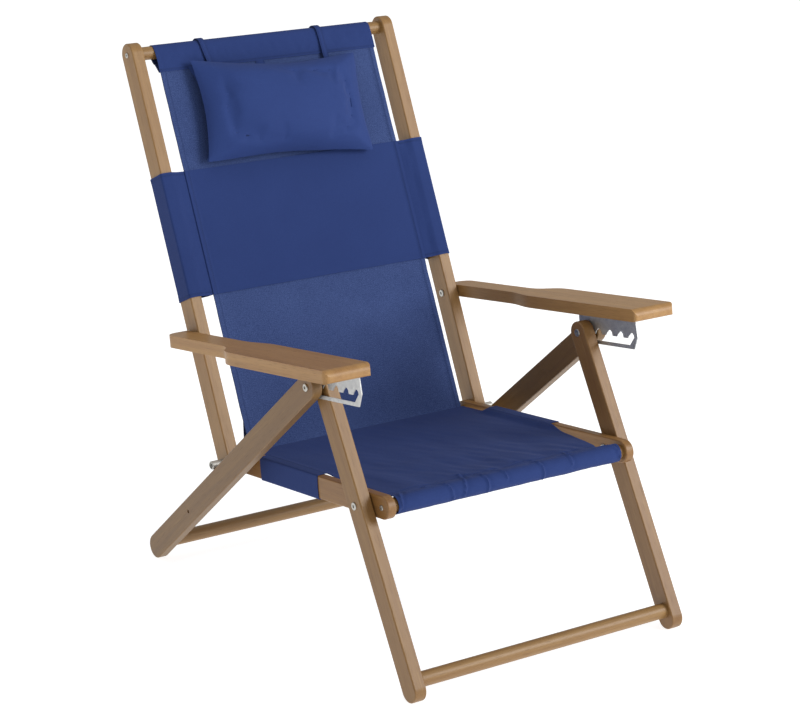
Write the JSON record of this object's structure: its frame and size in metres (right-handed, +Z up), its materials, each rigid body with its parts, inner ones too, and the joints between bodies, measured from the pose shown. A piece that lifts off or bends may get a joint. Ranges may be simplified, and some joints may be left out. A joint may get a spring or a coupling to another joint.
{
  "type": "folding beach chair",
  "caption": "Low folding wooden chair with a sling back, cloth seat, lumbar band and head pillow, reclining by notched plates under its armrests.",
  "frame": {"origin": "on the floor, midway across the width and the depth of the open chair", "axes": "+Z up, the chair faces -Y, +X is across the chair to its left armrest as the sitter sees it"},
  "size_m": [0.684, 0.8897, 0.9067],
  "materials": {
    "wood_board": "satin oiled",
    "wood_dowel": "satin oiled",
    "canvas": "plain woven canvas",
    "sling_cloth": "open woven sling cloth",
    "plate_steel": "galvanised",
    "bolt_steel": "zinc plated",
    "washer_steel": "zinc plated",
    "barrel_alloy": "pale moulded nylon",
    "spacer_black": "black nylon"
  },
  "bodies": {
    "front_legs": {"front_leg_left": "wood_board", "front_leg_right": "wood_board", "top_barrel_nut_left": "bolt_steel", "top_barrel_nut_right": "bolt_steel", "front_leg_spacer_left": "spacer_black", "front_leg_spacer_right": "spacer_black", "seat_pivot_bolt_left": "bolt_steel", "seat_pivot_bolt_right": "bolt_steel", "seat_pivot_washer_left": "washer_steel", "seat_pivot_washer_right": "washer_steel", "front_foot_dowel": "wood_dowel"},
    "rear_legs": {"rear_leg_left": "wood_board", "rear_leg_right": "wood_board", "top_bolt_left": "bolt_steel", "top_bolt_right": "bolt_steel", "rear_leg_spacer_left": "spacer_black", "rear_leg_spacer_right": "spacer_black", "rear_foot_dowel": "wood_dowel"},
    "seat_frame": {"seat_rail_left": "wood_board", "seat_rail_right": "wood_board", "front_rod_screw_left": "bolt_steel", "front_rod_screw_right": "bolt_steel", "seat_front_rod": "wood_dowel", "seat_rear_dowel": "wood_dowel", "seat_sling": "canvas", "seat_sling_tail": "canvas"},
    "rear_pivots": {"rear_pivot_bolt_left": "bolt_steel", "rear_pivot_bolt_right": "bolt_steel", "rear_pivot_barrel_left": "barrel_alloy", "rear_pivot_barrel_right": "barrel_alloy", "rear_pivot_washer_left": "washer_steel", "rear_pivot_washer_right": "washer_steel"},
    "back_frame": {"back_rail_left": "wood_board", "back_rail_right": "wood_board", "top_dowel_screw_left": "bolt_steel", "top_dowel_screw_right": "bolt_steel", "pillow_strap_left": "canvas", "pillow_strap_right": "canvas", "top_dowel": "wood_dowel", "back_sling": "sling_cloth", "lumbar_band": "canvas", "head_pillow": "canvas"},
    "arm_bolt_left": {"arm_pivot_bolt_left": "bolt_steel"},
    "arm_washer_left": {"arm_pivot_washer_left": "washer_steel"},
    "arm_left": {"armrest_left": "wood_board", "notch_plate_left": "plate_steel", "plate_screws_left": "bolt_steel"},
    "arm_bolt_right": {"arm_pivot_bolt_right": "bolt_steel"},
    "arm_washer_right": {"arm_pivot_washer_right": "washer_steel"},
    "arm_right": {"armrest_right": "wood_board", "notch_plate_right": "plate_steel", "plate_screws_right": "bolt_steel"}
  },
  "joints": [
    {"name": "fold", "type": "hinge", "parent": "front_legs", "child": "seat_frame", "pos_m": [0, -0.2773, 0.27829], "axis": [-1, 0, 0], "range_deg": [0, 92], "deforming": ["seat_sling_tail"]},
    {"name": "rear_legs_close", "type": "hinge", "parent": "front_legs", "child": "rear_legs", "pos_m": [0, -0.17831, 0.45115], "axis": [-1, 0, 0], "range_deg": [0, 80.54]},
    {"name": "back_folds", "type": "hinge", "parent": "seat_frame", "child": "rear_pivots", "pos_m": [0, 0.12866, 0.23376], "axis": [1, 0, 0], "range_deg": [0, 85.1]},
    {"name": "recline", "type": "hinge", "parent": "rear_pivots", "child": "back_frame", "pos_m": [0, 0.12866, 0.23376], "axis": [-1, 0, 0], "range_deg": [0, 38]},
    {"name": "arm_folds_left", "type": "hinge", "parent": "back_frame", "child": "arm_bolt_left", "pos_m": [0, 0.2183, 0.43137], "axis": [-1, 0, 0], "range_deg": [0, 86.7]},
    {"name": "arm_follows_recline_left", "type": "hinge", "parent": "arm_bolt_left", "child": "arm_washer_left", "pos_m": [0, 0.2183, 0.43137], "axis": [1, 0, 0], "range_deg": [0, 29.57]},
    {"name": "arm_lift_left", "type": "hinge", "parent": "arm_washer_left", "child": "arm_left", "pos_m": [0, 0.2183, 0.43137], "axis": [-1, 0, 0], "range_deg": [0, 1.15]},
    {"name": "arm_folds_right", "type": "hinge", "parent": "back_frame", "child": "arm_bolt_right", "pos_m": [0, 0.2183, 0.43137], "axis": [-1, 0, 0], "range_deg": [0, 86.7]},
    {"name": "arm_follows_recline_right", "type": "hinge", "parent": "arm_bolt_right", "child": "arm_washer_right", "pos_m": [0, 0.2183, 0.43137], "axis": [1, 0, 0], "range_deg": [0, 29.57]},
    {"name": "arm_lift_right", "type": "hinge", "parent": "arm_washer_right", "child": "arm_right", "pos_m": [0, 0.2183, 0.43137], "axis": [-1, 0, 0], "range_deg": [0, 1.15]}
  ],
  "couplings": [
    {"joint": "rear_legs_close", "follows": "fold", "ratio": 0.87},
    {"joint": "back_folds", "follows": "fold", "ratio": 0.9196},
    {"joint": "arm_folds_left", "follows": "fold", "ratio": 0.937},
    {"joint": "arm_follows_recline_left", "follows": "recline", "ratio": 0.765},
    {"joint": "arm_folds_right", "follows": "fold", "ratio": 0.937},
    {"joint": "arm_follows_recline_right", "follows": "recline", "ratio": 0.765}
  ]
}
